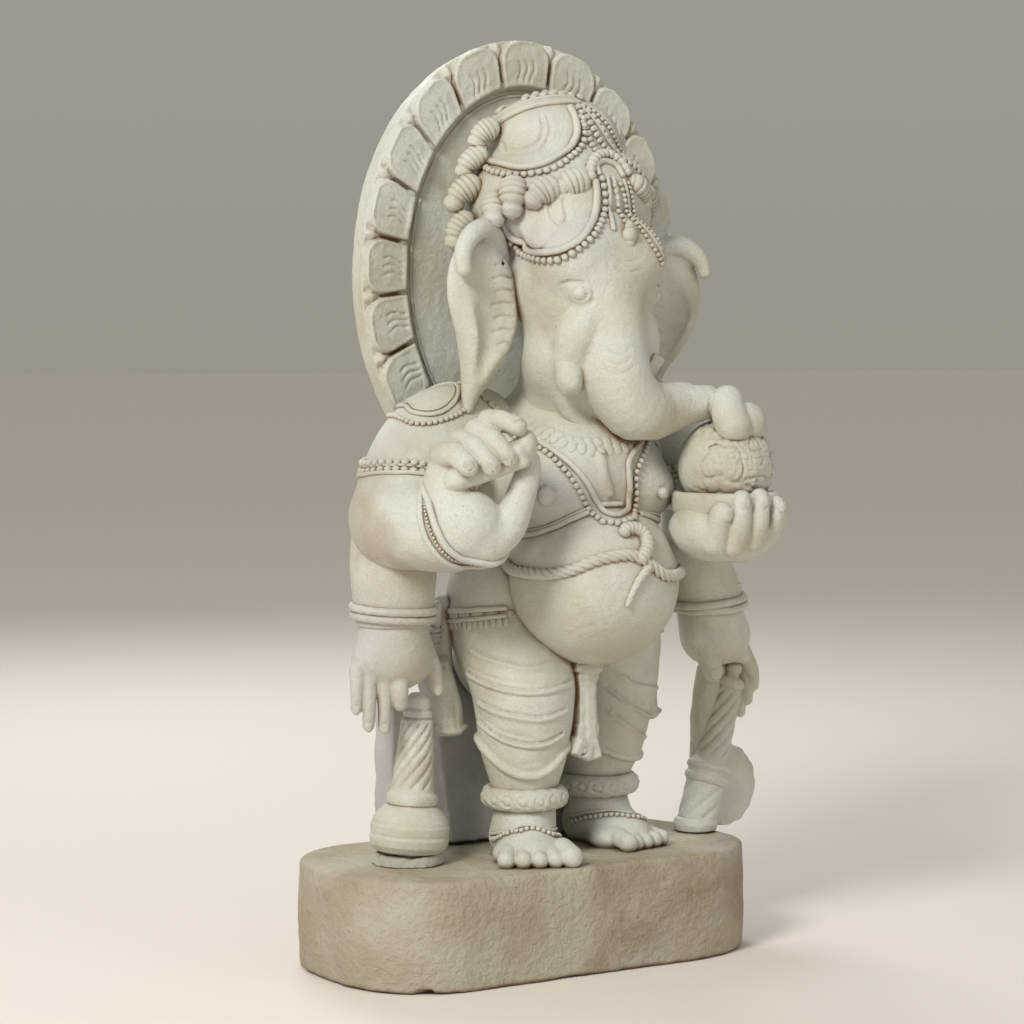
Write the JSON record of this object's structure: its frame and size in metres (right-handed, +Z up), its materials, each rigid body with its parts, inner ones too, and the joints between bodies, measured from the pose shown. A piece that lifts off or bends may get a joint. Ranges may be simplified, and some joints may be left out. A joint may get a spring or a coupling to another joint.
{
  "type": "ganesha statue",
  "caption": "Standing elephant-headed devotional figure carved in white marble, with mace, axe, bowl of sweets, petalled oval halo and a rounded plinth.",
  "frame": {"origin": "centre of the plinth's underside", "axes": "+Z up, the figure faces -Y, and its own left side is towards +X"},
  "size_m": [0.598, 0.35, 1.047],
  "materials": {
    "white_marble": "satin carved marble, dirt in the recesses",
    "grey_marble": "sawn lilac-grey marble",
    "bedding_cement": "rough cement bedding"
  },
  "bodies": {
    "root": {"anklet_left": "white_marble", "anklet_right": "white_marble", "armlet_left": "white_marble", "armlet_right": "white_marble", "axe_blade": "white_marble", "axe_foot": "white_marble", "axe_shaft": "white_marble", "axe_strut": "white_marble", "back_strut_right": "grey_marble", "back_support": "grey_marble", "belly": "white_marble", "belly_rope": "white_marble", "bowl": "white_marble", "centre_sash": "white_marble", "chest_band": "white_marble", "crown_base": "white_marble", "crown_tassel": "white_marble", "crown_top": "white_marble", "cupped_hand_left": "white_marble", "ear_left": "white_marble", "ear_right": "white_marble", "foot_left": "white_marble", "foot_right": "white_marble", "front_bangle_right": "white_marble", "front_forearm_left": "white_marble", "front_forearm_right": "white_marble", "hair_curls": "white_marble", "halo_moulding": "white_marble", "halo_petals": "white_marble", "halo_slab": "white_marble", "head": "white_marble", "held_cake": "white_marble", "hips": "white_marble", "leg_left": "white_marble", "leg_right": "white_marble", "mace_bedding": "bedding_cement", "mace_head": "white_marble", "mace_shaft": "white_marble", "necklace": "white_marble", "plinth": "white_marble", "raised_hand_right": "white_marble", "rear_bangle_left": "white_marble", "rear_bangle_right": "white_marble", "rear_forearm_left": "white_marble", "rear_forearm_right": "white_marble", "rear_hand_left": "white_marble", "rear_hand_right": "white_marble", "shoulder_plate_left": "white_marble", "shoulder_plate_right": "white_marble", "side_sash_left": "white_marble", "side_sash_right": "white_marble", "sweet_ball": "white_marble", "torso": "white_marble", "trunk": "white_marble", "tusk_left": "white_marble", "tusk_right": "white_marble", "upper_arm_left": "white_marble", "upper_arm_right": "white_marble", "waist_belt": "white_marble"}
  },
  "joints": []
}
